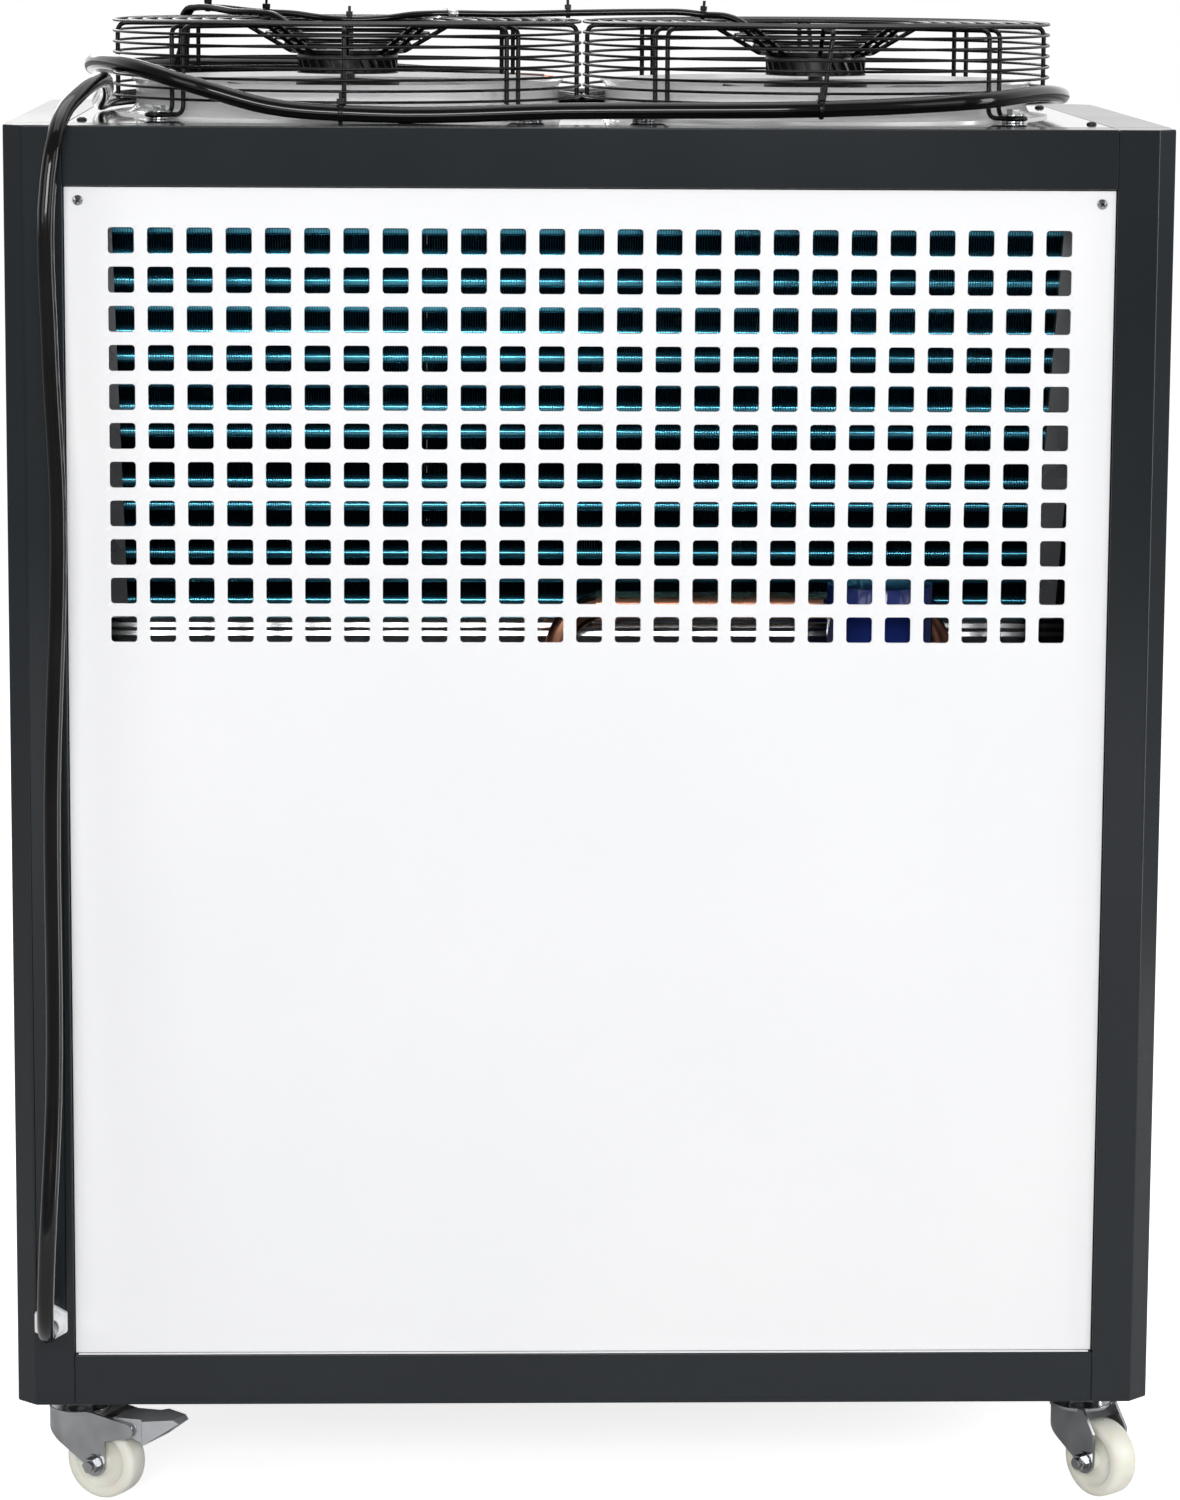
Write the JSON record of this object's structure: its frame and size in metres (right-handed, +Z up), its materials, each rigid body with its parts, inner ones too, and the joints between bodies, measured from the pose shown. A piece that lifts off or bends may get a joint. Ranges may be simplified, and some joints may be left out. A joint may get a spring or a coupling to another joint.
{
  "type": "air cooled water chiller",
  "caption": "Upright industrial water chiller on castors: dark frame, white perforated panels, finned V condenser and guarded axial fans on top, with a heavy supply cable",
  "frame": {"origin": "on the floor under the middle of the cabinet", "axes": "+X along the long side, -Y out of the pictured long side, +Z up"},
  "size_m": [0.9, 0.6365, 1.1867],
  "materials": {
    "frame_paint": "satin powder coat, dark blue grey",
    "panel_paint": "fine texture powder coat, white",
    "fin_stock": "blue hydrophilic coated fins",
    "galvanised": "galvanised sheet",
    "stainless": "stainless sheet",
    "black_paint": "black stove enamel",
    "blue_paint": "gloss blue motor enamel",
    "copper": "drawn copper tube",
    "brass": "machined brass socket",
    "black_wire": "black coated steel wire",
    "zinc": "bright zinc plate",
    "black_rubber": "black sheath",
    "white_nylon": "moulded nylon",
    "cream_nylon": "cast nylon"
  },
  "bodies": {
    "cabinet": {"corner_posts": "frame_paint", "base_rails": "frame_paint", "base_plate": "frame_paint", "top_rails": "frame_paint", "top_plate": "frame_paint", "front_panel": "panel_paint", "rear_panel": "panel_paint", "left_panel": "panel_paint", "right_panel": "panel_paint", "coil_front": "fin_stock", "coil_rear": "fin_stock", "coil_end_plates": "galvanised", "coil_channel": "stainless", "coil_stands": "frame_paint", "water_tank": "stainless", "compressor": "black_paint", "pump_base": "stainless", "pump_motor": "blue_paint", "copper_pipe": "copper", "water_ports": "brass", "collars": "galvanised", "guard_left": "black_wire", "guard_right": "black_wire", "guard_bolts": "zinc", "stators": "black_paint", "fan_leads": "black_rubber", "castor_plates": "zinc", "cable_gland": "white_nylon", "power_cable": "black_rubber"},
    "rotor_left": {"rotor_left": "black_paint"},
    "rotor_right": {"rotor_right": "black_paint"},
    "fork_fl": {"fork_fl": "zinc"},
    "wheel_fl": {"wheel_fl": "cream_nylon"},
    "pedal_fl": {"pedal_fl": "zinc"},
    "fork_fr": {"fork_fr": "zinc"},
    "wheel_fr": {"wheel_fr": "cream_nylon"},
    "fork_rl": {"fork_rl": "zinc"},
    "wheel_rl": {"wheel_rl": "cream_nylon"},
    "pedal_rl": {"pedal_rl": "zinc"},
    "fork_rr": {"fork_rr": "zinc"},
    "wheel_rr": {"wheel_rr": "cream_nylon"}
  },
  "joints": [
    {"name": "fan_left", "type": "hinge", "parent": "cabinet", "child": "rotor_left", "pos_m": [-0.1905, 0, 1.098], "axis": [0, 0, 1], "continuous": true},
    {"name": "fan_right", "type": "hinge", "parent": "cabinet", "child": "rotor_right", "pos_m": [0.1905, 0, 1.098], "axis": [0, 0, 1], "continuous": true},
    {"name": "swivel_fl", "type": "hinge", "parent": "cabinet", "child": "fork_fl", "pos_m": [-0.404, -0.208, 0.08], "axis": [0, 0, 1], "continuous": true},
    {"name": "roll_fl", "type": "hinge", "parent": "fork_fl", "child": "wheel_fl", "pos_m": [-0.38281, -0.21927, 0.031], "axis": [0.4695, 0.8829, 0], "continuous": true},
    {"name": "brake_fl", "type": "hinge", "parent": "fork_fl", "child": "pedal_fl", "pos_m": [-0.35632, -0.23335, 0.062], "axis": [0.4695, 0.8829, 0], "range_deg": [0, 8]},
    {"name": "swivel_fr", "type": "hinge", "parent": "cabinet", "child": "fork_fr", "pos_m": [0.404, -0.208, 0.08], "axis": [0, 0, 1], "continuous": true},
    {"name": "roll_fr", "type": "hinge", "parent": "fork_fr", "child": "wheel_fr", "pos_m": [0.41878, -0.22691, 0.031], "axis": [0.788, 0.6157, 0], "continuous": true},
    {"name": "swivel_rl", "type": "hinge", "parent": "cabinet", "child": "fork_rl", "pos_m": [-0.404, 0.208, 0.08], "axis": [0, 0, 1], "continuous": true},
    {"name": "roll_rl", "type": "hinge", "parent": "fork_rl", "child": "wheel_rl", "pos_m": [-0.40981, 0.18471, 0.031], "axis": [0.9703, -0.2419, 0], "continuous": true},
    {"name": "brake_rl", "type": "hinge", "parent": "fork_rl", "child": "pedal_rl", "pos_m": [-0.41706, 0.1556, 0.062], "axis": [0.9703, -0.2419, 0], "range_deg": [0, 8]},
    {"name": "swivel_rr", "type": "hinge", "parent": "cabinet", "child": "fork_rr", "pos_m": [0.404, 0.208, 0.08], "axis": [0, 0, 1], "continuous": true},
    {"name": "roll_rr", "type": "hinge", "parent": "fork_rr", "child": "wheel_rr", "pos_m": [0.38145, 0.21621, 0.031], "axis": [-0.342, -0.9397, 0], "continuous": true}
  ]
}
